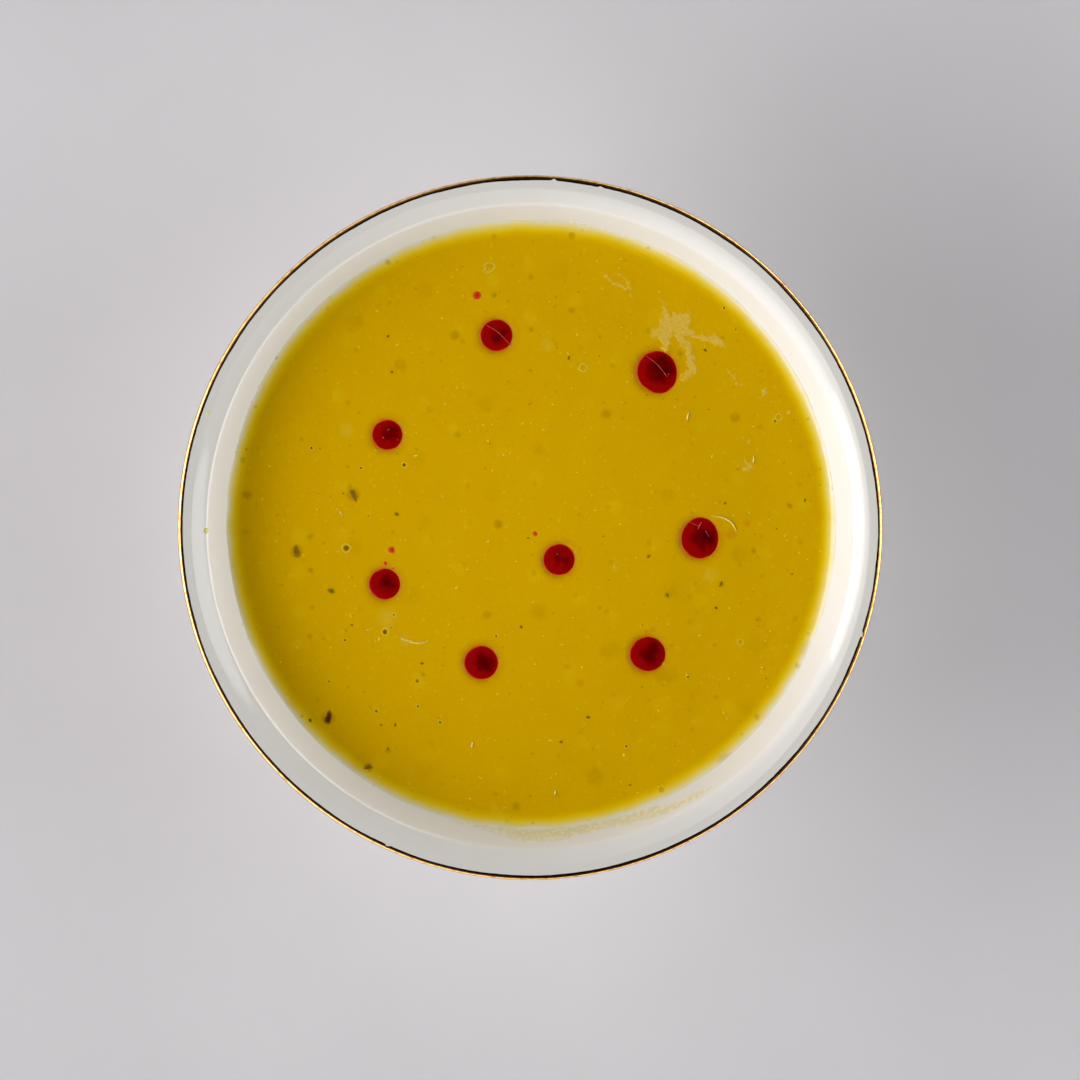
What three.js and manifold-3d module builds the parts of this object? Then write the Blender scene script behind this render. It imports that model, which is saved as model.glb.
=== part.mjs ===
// A china bowl of lentil soup, with red oil drops afloat on the soup.
// Millimetres, +Z up. The origin is the middle of the foot ring's underside.

import * as THREE from 'three';
import { mergeVertices } from 'three/addons/utils/BufferGeometryUtils.js';
import Module from 'manifold-3d';

const wasm = await Module();
wasm.setup();

// ---- Driving dimensions ----

const RIM_DIAMETER = 160;       // outside, across the gilded edge
const BOWL_HEIGHT = 56;         // foot to the crest of the edge
const EDGE_THICKNESS = 1.8;     // the fired edge, which is round on top
const WALL_THICKNESS = 3.0;     // the wall and floor, before they thin towards the edge
const THINNING_HEIGHT = 16;     // the top stretch of the wall that thins
const LIP_WIDTH = 2.0;          // the nearly level lip inside the edge
const LIP_SLOPE = 8;            // degrees above level
const FLARE_REACH = 2.2;        // half the length of the turned-out stretch under the lip
const FLARE_START = 38;         // its slope where it leaves the wall, in degrees above level
const FLARE_END = 28;           // and where it meets the lip
const WALL_LEAN = 28;           // degrees from upright, at the top of the wall
const FLOOR_HEIGHT = 6.2;       // inside, at the middle
const FLOOR_SPREAD = 0.76;      // how far out the level floor draws the well's curve, and
const WALL_PULL = 0.48;         // how far down its wall does, as shares of the wall top's radius
const FOOT_DIAMETER = 68;       // outside, where it stands
const FOOT_WIDTH = 3.4;         // of the ring, where it stands
const FOOT_BEVEL = 0.6;

const FREEBOARD = 10;           // edge crest down to the soup
const DROP_DOME = 0.45;         // a drop's top above the soup
const DROP_DEPTH = 1.5;         // a drop's underside below the soup
const GAP = 0.3;                // between neighbouring solids

// The same count of faces round bowl and soup keeps the gap between them even.
const ROUND_FACES = 64;
const WELL_STEPS = 10;
const FLARE_STEPS = 4;
const DROP_FACES = 18;
const DROP_STEPS = 4;

// Each drop: the place of its middle, half its size along x and y, and its bulge, which is an
// outward push by that share of the radius towards one direction, in degrees from +x. A higher
// BULGE_FOCUS makes every bulge narrower.
const BULGE_FOCUS = 3;
const DROPS = [
  { at: [-7.8, 43.6], half: [3.7, 3.7] },
  { at: [29.1, 35.4], half: [4.6, 4.65], bulge: 0.16, towards: -66 },
  { at: [-32.9, 20.7], half: [3.5, 3.5] },
  { at: [39.0, -3.2], half: [4.3, 4.6], bulge: 0.09, towards: 84 },
  { at: [-33.5, -13.6], half: [3.6, 3.6] },
  { at: [6.6, -8.0], half: [3.65, 3.6] },
  { at: [-11.3, -31.7], half: [3.9, 3.9] },
  { at: [27.0, -29.7], half: [4.1, 4.0] },
];

// ---- Worked-out dimensions ----

const SOUP_LEVEL = BOWL_HEIGHT - FREEBOARD;
const EDGE_RADIUS = EDGE_THICKNESS / 2;
const EDGE_CENTRE = point(RIM_DIAMETER / 2 - EDGE_RADIUS, BOWL_HEIGHT - EDGE_RADIUS);
const EDGE_START = 90 + LIP_SLOPE;      // heading from the edge's centre to where the lip ends
const FOOT_OUTER = FOOT_DIAMETER / 2;
const FOOT_INNER = FOOT_OUTER - FOOT_WIDTH;

// ---- Materials ----

const china = new THREE.MeshStandardMaterial({ color: 0xf4f0e6, roughness: 0.12, metalness: 0 });
const lentilSoup = new THREE.MeshStandardMaterial({ color: 0xc59c08, roughness: 0.3, metalness: 0 });
const redOil = new THREE.MeshStandardMaterial({ color: 0x7d0503, roughness: 0.06, metalness: 0 });

// ---- Lines in the half plane, where x is the radius and y the height ----

/** A point of the half plane. */
function point(x, y) {
  return new THREE.Vector2(x, y);
}

/** A point at a distance from another, in a direction given in degrees above level. */
function pointFrom(start, degrees, distance) {
  const angle = THREE.MathUtils.degToRad(degrees);
  return point(start.x + distance * Math.cos(angle), start.y + distance * Math.sin(angle));
}

/** The bowl's inside, from the middle of its floor to where the edge starts to round over. */
function insideLine() {
  const lipTop = pointFrom(EDGE_CENTRE, EDGE_START, EDGE_RADIUS);
  const lipFoot = pointFrom(lipTop, LIP_SLOPE, -LIP_WIDTH);
  const flareHandle = pointFrom(lipFoot, FLARE_END, -FLARE_REACH);
  const wallTop = pointFrom(flareHandle, FLARE_START, -FLARE_REACH);
  const floorHandle = point(FLOOR_SPREAD * wallTop.x, FLOOR_HEIGHT);
  const wallHandle = pointFrom(wallTop, 90 - WALL_LEAN, -WALL_PULL * wallTop.x);

  const well = new THREE.CubicBezierCurve(
    point(0, FLOOR_HEIGHT), floorHandle, wallHandle, wallTop);
  const flare = new THREE.QuadraticBezierCurve(wallTop, flareHandle, lipFoot);
  return [...well.getPoints(WELL_STEPS), ...flare.getPoints(FLARE_STEPS).slice(1), lipTop];
}

/** The round edge, from the end of the lip over the crest to the outer side. */
function edgeLine() {
  const headings = [EDGE_START, 90, 60, 30, 0, -30, EDGE_START - 180];
  return headings.map((degrees) => pointFrom(EDGE_CENTRE, degrees, EDGE_RADIUS));
}

/** A line shifted to its right, as it is walked, by the distance given for each of its points. */
function shifted(line, distanceAt) {
  const moved = line.map((here, i) => {
    const before = line[Math.max(i - 1, 0)];
    const after = line[Math.min(i + 1, line.length - 1)];
    const along = after.clone().sub(before).normalize();
    return point(here.x + along.y * distanceAt(here), here.y - along.x * distanceAt(here));
  });
  moved[0].x = 0;
  return moved;
}

/** The bowl's outside without its foot, from the middle of the underside to the edge. */
function outsideLine() {
  const thickness = ({ y }) => THREE.MathUtils.mapLinear(
    Math.max(y, BOWL_HEIGHT - THINNING_HEIGHT),
    BOWL_HEIGHT - THINNING_HEIGHT, BOWL_HEIGHT, WALL_THICKNESS, EDGE_THICKNESS);
  return shifted(insideLine(), thickness).slice(0, -1);
}

/** Where a line that runs outward and upward crosses a value of one of its coordinates. */
function crossing(line, axis, value) {
  const next = line.findIndex((p) => p[axis] >= value);
  const share = (value - line[next - 1][axis]) / (line[next][axis] - line[next - 1][axis]);
  return line[next - 1].clone().lerp(line[next], share);
}

/** The foot ring, from where it leaves the underside to where it meets the outside. */
function footLine(outside) {
  return [
    crossing(outside, 'x', FOOT_INNER - FOOT_BEVEL),
    point(FOOT_INNER, FOOT_BEVEL),
    point(FOOT_INNER + FOOT_BEVEL, 0),
    point(FOOT_OUTER - FOOT_BEVEL, 0),
    point(FOOT_OUTER, FOOT_BEVEL),
    crossing(outside, 'x', FOOT_OUTER + FOOT_BEVEL),
  ];
}

// ---- Solids ----

/** A closed outline turned round the Z axis. */
function turned(outline, faces) {
  return new THREE.LatheGeometry(outline, faces).rotateX(Math.PI / 2);
}

/** A drop's body about its own middle: a low dome on a deeper belly, grown by some distance. */
function dropShape({ half, bulge = 0, towards = 0 }, grown = 0) {
  const lens = (height) => Array.from({ length: DROP_STEPS + 1 }, (_, i) =>
    point(i / DROP_STEPS, height * (1 - (i / DROP_STEPS) ** 2)));
  const belly = lens(-DROP_DEPTH - grown);
  const dome = lens(DROP_DOME + grown).reverse().slice(1);
  const shape = turned([...belly, ...dome], DROP_FACES);

  const places = shape.getAttribute('position');
  for (let i = 0; i < places.count; i += 1) {
    const direction = Math.atan2(places.getY(i), places.getX(i));
    const facing = Math.cos(direction - THREE.MathUtils.degToRad(towards));
    const push = 1 + bulge * Math.max(facing, 0) ** BULGE_FOCUS;
    places.setX(i, places.getX(i) * (half[0] * push + grown));
    places.setY(i, places.getY(i) * (half[1] * push + grown));
  }
  return shape;
}

/** A closed geometry as a manifold solid. */
function solidOf(geometry) {
  const bare = geometry.clone();
  bare.deleteAttribute('normal');
  bare.deleteAttribute('uv');
  const merged = mergeVertices(bare);
  const corners = merged.index.array;
  const triangles = [];
  for (let i = 0; i < corners.length; i += 3) {
    const [a, b, c] = corners.slice(i, i + 3);
    if (a !== b && b !== c && c !== a) {
      triangles.push(a, b, c);
    }
  }
  return new wasm.Manifold(new wasm.Mesh({
    numProp: 3,
    vertProperties: Float32Array.from(merged.getAttribute('position').array),
    triVerts: Uint32Array.from(triangles),
  }));
}

/** A manifold solid as a geometry. */
function geometryOf(solid) {
  const { vertProperties, triVerts } = solid.getMesh();
  const geometry = new THREE.BufferGeometry();
  geometry.setAttribute('position', new THREE.BufferAttribute(vertProperties, 3));
  geometry.setIndex(new THREE.BufferAttribute(triVerts, 1));
  geometry.computeVertexNormals();
  return geometry;
}

/** A mesh with its name. */
function named(name, geometry, material) {
  const mesh = new THREE.Mesh(geometry, material);
  mesh.name = name;
  return mesh;
}

/** The china bowl with its foot ring. */
function bowl() {
  const outside = outsideLine();
  const foot = footLine(outside);
  const outline = [
    ...outside.filter((p) => p.x < foot[0].x),
    ...foot,
    ...outside.filter((p) => p.x > foot.at(-1).x),
    ...edgeLine().reverse(),
    ...insideLine().reverse().slice(1),
  ];
  return named('bowl', turned(outline, ROUND_FACES), china);
}

/** The soup up to its level, hollowed under each drop. */
function soup() {
  const side = shifted(insideLine(), () => -GAP);
  const shore = crossing(side, 'y', SOUP_LEVEL);
  const outline = [...side.filter((p) => p.y < shore.y), shore, point(0, SOUP_LEVEL)];
  const whole = solidOf(turned(outline, ROUND_FACES));
  const hollowed = DROPS.reduce((rest, drop) => {
    const hollow = dropShape(drop, GAP).translate(...drop.at, SOUP_LEVEL);
    return rest.subtract(solidOf(hollow));
  }, whole);
  return named('soup', geometryOf(hollowed), lentilSoup);
}

/** One drop of oil, most of it sunk in the soup. */
function oilDrop(drop, index) {
  const mesh = named(`oil_drop_${index + 1}`, dropShape(drop), redOil);
  mesh.position.set(...drop.at, SOUP_LEVEL);
  return mesh;
}

const bowlOfSoup = new THREE.Group();
bowlOfSoup.add(bowl(), soup(), ...DROPS.map(oilDrop));

export default bowlOfSoup;
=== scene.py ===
"""A china bowl of lentil soup with red oil drops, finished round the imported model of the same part.

Sizes and places are in millimetres from the bowl's axis and from what it stands on, with +X to the
right of the camera's view and +Y to its top. Colours are linear red, green and blue.
"""

from math import comb, cos, pi, radians, sin, sqrt, tan, tau

import bmesh
import bpy
import numpy as np
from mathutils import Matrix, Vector


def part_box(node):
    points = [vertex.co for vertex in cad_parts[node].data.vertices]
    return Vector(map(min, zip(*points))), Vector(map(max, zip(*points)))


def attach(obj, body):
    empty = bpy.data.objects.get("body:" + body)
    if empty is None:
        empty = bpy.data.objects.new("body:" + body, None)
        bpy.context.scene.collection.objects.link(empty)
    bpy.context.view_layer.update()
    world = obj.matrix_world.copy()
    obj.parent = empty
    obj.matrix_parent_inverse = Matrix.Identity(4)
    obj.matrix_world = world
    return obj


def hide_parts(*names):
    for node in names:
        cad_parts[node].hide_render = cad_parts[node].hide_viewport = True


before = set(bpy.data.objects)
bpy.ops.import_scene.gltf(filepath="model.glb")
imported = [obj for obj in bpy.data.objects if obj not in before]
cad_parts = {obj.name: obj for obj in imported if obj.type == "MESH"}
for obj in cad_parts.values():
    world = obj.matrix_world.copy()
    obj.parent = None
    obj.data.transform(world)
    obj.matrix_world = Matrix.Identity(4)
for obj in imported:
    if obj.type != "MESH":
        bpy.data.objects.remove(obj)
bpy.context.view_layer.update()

MM = 0.001  # metres in a millimetre
UP = np.array([0.0, 0.0, 1.0])
SHARP = radians(60)  # faces that meet at more than this keep a sharp edge
SAME_PLACE = 1e-6  # points nearer than this are joined

# ---- The bowl: its packed size, and the sizes of its outline ----

RIM_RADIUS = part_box("bowl")[1].x / MM
BOWL_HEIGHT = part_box("bowl")[1].z / MM
SOUP_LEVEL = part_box("soup")[1].z / MM

EDGE_THICKNESS = 1.8
WALL_THICKNESS = 3.0
WALL_UNEVENNESS = 0.0004  # over the radius
THINNING_HEIGHT = 16  # the top stretch of the wall that thins towards the edge
LIP_WIDTH = 2.0
LIP_SLOPE = 8  # degrees above level
FLARE_REACH = 2.2  # half the length of the turned-out stretch under the lip
FLARE_START = 38  # its slope where it leaves the wall, in degrees above level
FLARE_END = 28  # and where it meets the lip
WALL_LEAN = 28  # degrees from upright
FLOOR_HEIGHT = 6.2
FLOOR_SPREAD = 0.76
WALL_PULL = 0.48
CREASE_EASING = 0.7  # how far the bends at both ends of the flare are eased
FOOT_RADIUS = 34
FOOT_WIDTH = 3.4
FOOT_BEVEL = 0.6
FOOT_EASING = 1.3  # how far the foot's corners are eased

EDGE_RADIUS = EDGE_THICKNESS / 2
EDGE_CENTRE = np.array([RIM_RADIUS - EDGE_RADIUS, BOWL_HEIGHT - EDGE_RADIUS])
EDGE_START = 90 + LIP_SLOPE  # heading from the edge's centre to where the lip ends

# ---- The gilding, as distances over the edge from its crest, outwards above zero ----

GILT_INNER = -0.28
GILT_OUTER = 1.75
GILT_LIFT = 0.03
GILT_DEPTH = 0.05  # how far the strip reaches into the china
GILT_NICKS = [(86.1, 0.5), (78.3, 0.35), (-17.8, 0.5), (-114.2, 0.4)]  # degrees from +X, depth

# ---- The soup ----

MENISCUS_RISE = 0.9  # where the soup meets the wall
MENISCUS_REACH = 1.1
MENISCUS_LEAN = 0.28  # how much higher than that it clings on its highest side
MENISCUS_HEADING = 35  # where that is, in degrees from +X
WALL_BITE = 0.3  # how far the soup reaches into the wall
DEEP = 6.5  # depth from which the china no longer shines through
SHORE_SHARE = 0.8  # the share of its rise at which the soup ends
SOUP_RELIEF = 0.018
FINE_RELIEF = 0.006
FINE_REACH = 3.5  # how far in from the wall its mesh is fine

# ---- Oil drops ----

DROP_DOME = 0.22
DROP_BELLY = 1.1
DROP_SHADE_CORE = 0.22 + 0.06j  # where a drop is painted darkest, off its middle the same way for every drop as painted shade, over its radius
RIM_SINK = 0.15  # a drop's rim below the soup's level
DIP_REACH = 0.9  # how far round a drop the soup dips towards it
DIP_CLEARANCE = 0.04  # how much lower than the rim it then is
DIP_UNDER = 0.35  # how much lower again under the drop
HALO_REACH = 2.6  # how far round a drop the soup is stained
OILY_REACH = 0.9  # how far round a drop it is oily
DROP_NAMES = sorted(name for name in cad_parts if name.startswith("oil_drop"))


# ---- Lines and numbers ----

def from_point(start, degrees, distance):
    """A point at a distance from another, in degrees above level."""
    angle = radians(degrees)
    return np.array([start[0] + distance * cos(angle), start[1] + distance * sin(angle)])


def bezier(handles, steps):
    """Points along the Bezier curve of some handles."""
    shares = np.linspace(0, 1, steps + 1)[:, None]
    degree = len(handles) - 1
    return sum(
        comb(degree, k) * shares**k * (1 - shares) ** (degree - k) * np.asarray(handle)
        for k, handle in enumerate(handles))


def eased(corners, reach, steps=5):
    """A line through some points, with its inner corners rounded off."""
    corners = [np.asarray(corner, float) for corner in corners]
    line = [corners[0]]
    for before, corner, after in zip(corners, corners[1:], corners[2:]):
        ends = []
        for other in (before, after):
            span = np.linalg.norm(other - corner)
            ends.append(corner + (other - corner) * min(reach / span, 0.5))
        line.extend(bezier([ends[0], corner, ends[1]], steps))
    return np.array(line + [corners[-1]])


def step(value, low, high):
    """A smooth rise from 0 at low to 1 at high."""
    share = np.clip((value - low) / (high - low), 0, 1)
    return share * share * (3 - 2 * share)


def waves(x, y, size, seed, count=12):
    """Soft random relief, mostly between -2 and 2, with bumps of about a given size."""
    random = np.random.default_rng(seed)
    total = 0
    for _ in range(count):
        heading, phase = random.uniform(0, 2 * pi, 2)
        pitch = pi / (size * random.uniform(0.7, 1.7))
        total = total + np.sin(pitch * (x * cos(heading) + y * sin(heading)) + phase)
    return total / sqrt(count / 2)


def smoothed_bend(line, corner, reach, steps=8):
    """A line with its bend at a corner replaced by a curve."""
    away = np.hypot(*(line - corner).T)
    bend = int(np.argmin(away))
    before, after = line[:bend][away[:bend] > reach], line[bend:][away[bend:] > reach]
    ends = [corner + (end - corner) * reach / np.hypot(*(end - corner)) for end in (before[-1], after[0])]
    return np.vstack([before, bezier([ends[0], corner, ends[1]], steps), after])


def inside_line(well_steps=72, flare_steps=24):
    """The bowl's inside, from the middle of its floor to its rounded edge."""
    lip_top = from_point(EDGE_CENTRE, EDGE_START, EDGE_RADIUS)
    lip_foot = from_point(lip_top, LIP_SLOPE, -LIP_WIDTH)
    flare_handle = from_point(lip_foot, FLARE_END, -FLARE_REACH)
    wall_top = from_point(flare_handle, FLARE_START, -FLARE_REACH)
    well = bezier([
        (0, FLOOR_HEIGHT),
        (FLOOR_SPREAD * wall_top[0], FLOOR_HEIGHT),
        from_point(wall_top, 90 - WALL_LEAN, -WALL_PULL * wall_top[0]),
        wall_top,
    ], well_steps)
    flare = bezier([wall_top, flare_handle, lip_foot], flare_steps)
    lip = bezier([lip_foot, lip_top], 8)
    line = smoothed_bend(np.vstack([well, flare[1:], lip[1:]]), wall_top, CREASE_EASING)
    return smoothed_bend(line, lip_foot, CREASE_EASING / 3)


INSIDE = inside_line()
# How far from the axis the soup meets the wall.
SHORE = float(np.interp(SOUP_LEVEL + MENISCUS_RISE * SHORE_SHARE, INSIDE[:, 1], INSIDE[:, 0]))


def shifted(line, distances):
    """A line shifted to its right, by a distance for each of its points."""
    along = np.gradient(line, axis=0)
    along /= np.linalg.norm(along, axis=1)[:, None]
    moved = line + np.stack([along[:, 1], -along[:, 0]], axis=1) * distances[:, None]
    moved[0, 0] = 0
    return moved


# ---- Shapes ----

def sealed(mesh):
    """Joins a mesh's points that share a place, and turns its faces outwards."""
    made = bmesh.new()
    made.from_mesh(mesh)
    bmesh.ops.remove_doubles(made, verts=made.verts, dist=SAME_PLACE * MM)
    bmesh.ops.recalc_face_normals(made, faces=made.faces)
    made.to_mesh(mesh)
    made.free()


def placed(name, data):
    """A new object in the scene."""
    made = bpy.data.objects.new(name, data)
    bpy.context.scene.collection.objects.link(made)
    return made


def piece_of(name, points, faces, values=None, seal=False):
    """A smooth piece from points in millimetres, with values for each point by name."""
    mesh = bpy.data.meshes.new(name)
    mesh.from_pydata((np.asarray(points, float) * MM).tolist(), [], [tuple(map(int, f)) for f in faces])
    for attribute, numbers in (values or {}).items():
        layer = mesh.attributes.new(attribute, "FLOAT", "POINT")
        layer.data.foreach_set("value", np.ravel(numbers).astype(np.float32))
    if seal:
        sealed(mesh)
    mesh.shade_smooth()
    mesh.set_sharp_from_angle(angle=SHARP)
    return placed(name, mesh)


def ring_faces(rows, count, looped=False):
    """Faces between rings of points. Looped, the last ring meets the first."""
    turns = [(i, (i + 1) % count) for i in range(count)]
    rings = [(row * count, (row + 1) % rows * count) for row in range(rows if looped else rows - 1)]
    return [(here + i, here + j, there + j, there + i) for here, there in rings for i, j in turns]


def capped(rings):
    """A closed shape from rings of points, with both ends capped."""
    rows, count, _ = rings.shape
    ends = [tuple(range(count))[::-1], tuple(range((rows - 1) * count, rows * count))]
    return rings.reshape(-1, 3), ring_faces(rows, count) + ends


def ringed(name, rings, looped=False, values=None):
    """A piece from rings of points. A first or last ring of no size is a pole."""
    faces = ring_faces(*rings.shape[:2], looped)
    return piece_of(name, rings.reshape(-1, 3), faces, values, seal=True)


def headings_of(count):
    """Evenly dealt directions, in radians."""
    return np.arange(count) * 2 * pi / count


def circle_of(count):
    """Points round the unit circle, as complex numbers."""
    return np.exp(1j * headings_of(count))


def round_axis(radius, angle, height):
    """Points round the bowl's axis."""
    return np.stack(np.broadcast_arrays(radius * np.cos(angle), radius * np.sin(angle), height), axis=-1)


def turned(line, count):
    """Rings of points from an outline turned round the bowl's axis."""
    radii, heights = np.asarray(line).T[..., None]
    return round_axis(radii, headings_of(count), heights)


def slab(top, bottom, faces):
    """A closed shape between two matching sheets of points."""
    count = len(top)
    edges = {edge for face in faces for edge in zip(face, face[1:] + face[:1])}
    sides = [(b, a, a + count, b + count) for a, b in sorted(edges) if (b, a) not in edges]
    under = [tuple(i + count for i in reversed(face)) for face in faces]
    return np.vstack([top, bottom]), faces + under + sides


def joined(name, shapes, values=None):
    """One piece of many closed shapes, each given as its points and faces."""
    starts = np.cumsum([0] + [len(points) for points, _ in shapes])
    faces = [tuple(start + i for i in face) for start, (_, own) in zip(starts, shapes) for face in own]
    return piece_of(name, np.vstack([points for points, _ in shapes]), faces, values)


FILM_TUCK = 0.04  # how far a film's border dips under what carries it
FILM_ROOT = 0.2  # and how deep its underside lies


def film(name, x, y, thickness, place):
    """A thin closed piece wherever thickness is above zero on a grid of x and y. place gives the
    points at x, y and a lift; where the thickness runs out, the film dips under what carries it."""
    columns = x.shape[1]
    wet = thickness > 0
    cells = wet[:-1, :-1] | wet[1:, :-1] | wet[:-1, 1:] | wet[1:, 1:]
    corner = (np.argwhere(cells) @ [columns, 1])[:, None] + [0, 1, columns + 1, columns]
    kept, faces = np.unique(corner, return_inverse=True)
    x, y, thickness = (grid.ravel()[kept] for grid in (x, y, thickness))
    top = place(x, y, np.where(thickness > 0, thickness, -FILM_TUCK))
    bottom = place(x, y, np.full_like(x, -FILM_ROOT))
    faces = [tuple(face) for face in faces.reshape(-1, 4).tolist()]
    return piece_of(name, *slab(top, bottom, faces), {"thickness": np.tile(np.maximum(thickness, 0), 2)})


def strokes(x, y, lines):
    """How far inside the nearest of some brush lines each place is. A line is a list of places with
    half widths."""
    inside = np.full(x.shape, -np.inf)
    for line in lines:
        for (x0, y0, wide0), (x1, y1, wide1) in zip(line, line[1:]):
            span = (x1 - x0) ** 2 + (y1 - y0) ** 2
            share = np.clip(((x - x0) * (x1 - x0) + (y - y0) * (y1 - y0)) / span, 0, 1)
            away = np.hypot(x - x0 - share * (x1 - x0), y - y0 - share * (y1 - y0))
            inside = np.maximum(inside, wide0 + share * (wide1 - wide0) - away)
    return inside


# ---- Surfaces that carry things ----

def smooth_outline(places, count):
    """A closed line resampled to more points by its Fourier series."""
    series = np.fft.fftshift(np.fft.fft(places))
    padding = count - len(places)
    series = np.pad(series, (padding // 2, padding - padding // 2))
    return np.fft.ifft(np.fft.ifftshift(series)) * count / len(places)


class Drop:
    """A drop of oil: its middle and its outline, as complex numbers x + iy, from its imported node."""

    POINTS = 96

    def __init__(self, name):
        corners = np.array([v.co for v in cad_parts[name].data.vertices]) / MM
        at_level = corners[np.abs(corners[:, 2] - SOUP_LEVEL) < 0.01]
        rim = np.unique(np.round(at_level[:, 0] + 1j * at_level[:, 1], 3))
        inner = corners[np.argmax(corners[:, 2])]
        self.middle = complex(inner[0], inner[1])
        rim = rim[np.argsort(np.angle(rim - self.middle))]
        self.outline = smooth_outline(rim - self.middle, self.POINTS)

    def around(self, x, y):
        """How far a place is from the middle, and how far the outline is from it that way."""
        offset = x + 1j * y - self.middle
        headings = np.angle(self.outline)
        order = np.argsort(headings)
        outline = np.interp(
            np.angle(offset), headings[order], np.abs(self.outline)[order], period=2 * pi)
        return np.abs(offset), outline

    def inset(self, x, y):
        """How far inside the outline a place is, below zero outside."""
        away, outline = self.around(x, y)
        return outline - away

    def dome(self, x, y):
        """The height of the drop's top, far below everything outside it."""
        away, outline = self.around(x, y)
        top = SOUP_LEVEL - RIM_SINK + DROP_DOME * (1 - (away / outline) ** 2)
        return np.where(away < outline, top, -np.inf)


DROPS = [Drop(name) for name in DROP_NAMES]


def soup_height(x, y):
    """The height of the soup, raised at the wall and dipping to each drop."""
    to_shore = (np.hypot(x, y) - SHORE) / MENISCUS_REACH
    highest = radians(MENISCUS_HEADING)
    lean = MENISCUS_LEAN * (x * cos(highest) + y * sin(highest)) / SHORE
    creep = 1 + lean + 0.1 * waves(x, y, 9, seed=3)
    rise = np.where(to_shore < 0, np.exp(np.minimum(to_shore, 0)), 1 + 0.5 * to_shore)
    height = SOUP_LEVEL + MENISCUS_RISE * creep * rise
    height = height + SOUP_RELIEF * waves(x, y, 6, seed=4) + FINE_RELIEF * waves(x, y, 1.6, seed=5)
    for drop in DROPS:
        inset = drop.inset(x, y)
        height = height - (RIM_SINK + DIP_CLEARANCE) * step(inset, -DIP_REACH, 0)
        height = height - DIP_UNDER * step(inset, 0, 1.5)
    return height


def top_height(x, y):
    """The height of what floats highest: the soup, or a drop."""
    return np.maximum.reduce([soup_height(x, y)] + [drop.dome(x, y) for drop in DROPS])


def on_soup(x, y, lift):
    """Points over the soup or the drops."""
    return np.stack([x, y, top_height(x, y) + lift], axis=-1)


WALL_LINE = INSIDE[INSIDE[:, 0] > SHORE - 2]
WALL_REACH = np.concatenate([[0], np.cumsum(np.linalg.norm(np.diff(WALL_LINE, axis=0), axis=1))])
SHORE_REACH = float(np.interp(SHORE, WALL_LINE[:, 0], WALL_REACH))


def on_wall(across, climb, lift):
    """Points over the inside of the bowl's wall: across is the distance round it from +X, measured
    at the shore, climb is the distance up the wall from the shore, and lift is off the wall."""
    slopes = np.gradient(WALL_LINE[:, 1], WALL_LINE[:, 0])
    radius, height, slope = (
        np.interp(SHORE_REACH + climb, WALL_REACH, values) for values in (*WALL_LINE.T, slopes))
    tilt = np.arctan(slope)
    return round_axis(radius - lift * np.sin(tilt), across / SHORE, height + lift * np.cos(tilt))


# ---- Nodes ----

def is_output(value):
    """Whether a value is another node's output."""
    return isinstance(value, bpy.types.NodeSocket)


def feed(made, inputs):
    """Sets or links a node's inputs."""
    for key, value in inputs.items():
        if is_output(value):
            made.id_data.links.new(value, made.inputs[key])
        else:
            made.inputs[key].default_value = value


def node(kind, inputs, out=0, tree=None, **settings):
    """An output of a new node, in the tree of what feeds it."""
    if tree is None:
        tree = next(filter(is_output, inputs.values())).id_data
    made = tree.nodes.new(kind)
    for setting, value in settings.items():
        setattr(made, setting, value)
    feed(made, inputs)
    return made.outputs[out]


def maths(operation, *values):
    """A sum on some numbers."""
    return node("ShaderNodeMath", dict(enumerate(values)), operation=operation)


def on_vector(operation, vector, other=None, out=0):
    """A sum on one or two vectors."""
    inputs = {0: vector} if other is None else {0: vector, 1: other}
    return node("ShaderNodeVectorMath", inputs, out=out, operation=operation)


def axis_of(vector, axis):
    """A vector's X, Y or Z."""
    return node("ShaderNodeSeparateXYZ", {0: vector}, out=axis)


def new_material(name):
    """A material, and in its nodes the place on the object, in millimetres."""
    material = bpy.data.materials.new(name)
    material.use_nodes = True
    place = node("ShaderNodeTexCoord", {}, out="Object", tree=material.node_tree)
    return material, on_vector("MULTIPLY", place, (1 / MM,) * 3)


def painted(material, inputs):
    """A material with the inputs of its shader set."""
    feed(material.node_tree.nodes["Principled BSDF"], inputs)
    return material


def number(material, attribute):
    """A number stored for each point of a piece."""
    return node("ShaderNodeAttribute", {}, out="Fac", tree=material.node_tree, attribute_name=attribute)


def noise(place, size, detail=2.0):
    """Soft noise between 0 and 1, with a given size of grain."""
    return node("ShaderNodeTexNoise", {"Vector": place, "Scale": 1 / size, "Detail": detail})


def spread(value, low, high, to_low=0.0, to_high=1.0, smooth=False):
    """A value's range, stretched to another range and clipped."""
    return node("ShaderNodeMapRange", {
        "Value": value, "From Min": low, "From Max": high, "To Min": to_low, "To Max": to_high,
    }, interpolation_type="SMOOTHSTEP" if smooth else "LINEAR")


def varied(place, size, low, high, detail=2.0):
    """Soft noise stretched to a range."""
    return spread(noise(place, size, detail), 0.3, 0.7, low, high)


def mixed(share, first, second, way="MIX"):
    """Two colours mixed."""
    first, second = (c if is_output(c) else (*c, 1) for c in (first, second))
    return node("ShaderNodeMix", {0: share, 6: first, 7: second}, out=2, data_type="RGBA", blend_type=way)


def ramp(share, stops):
    """Colours along a share, from stops of a share and a colour."""
    colour = node("ShaderNodeValToRGB", {0: share})
    elements = colour.node.color_ramp.elements
    while len(elements) < len(stops):
        elements.new(0.5)
    for element, (position, paint) in zip(elements, stops):
        element.position = position
        element.color = (*paint, 1)
    return colour


def bump(place, size, depth, detail=2.0):
    """A normal that follows soft noise of a depth in millimetres."""
    height = noise(place, size, detail)
    return node("ShaderNodeBump", {"Height": height, "Distance": depth * MM, "Strength": 1.0})


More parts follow.
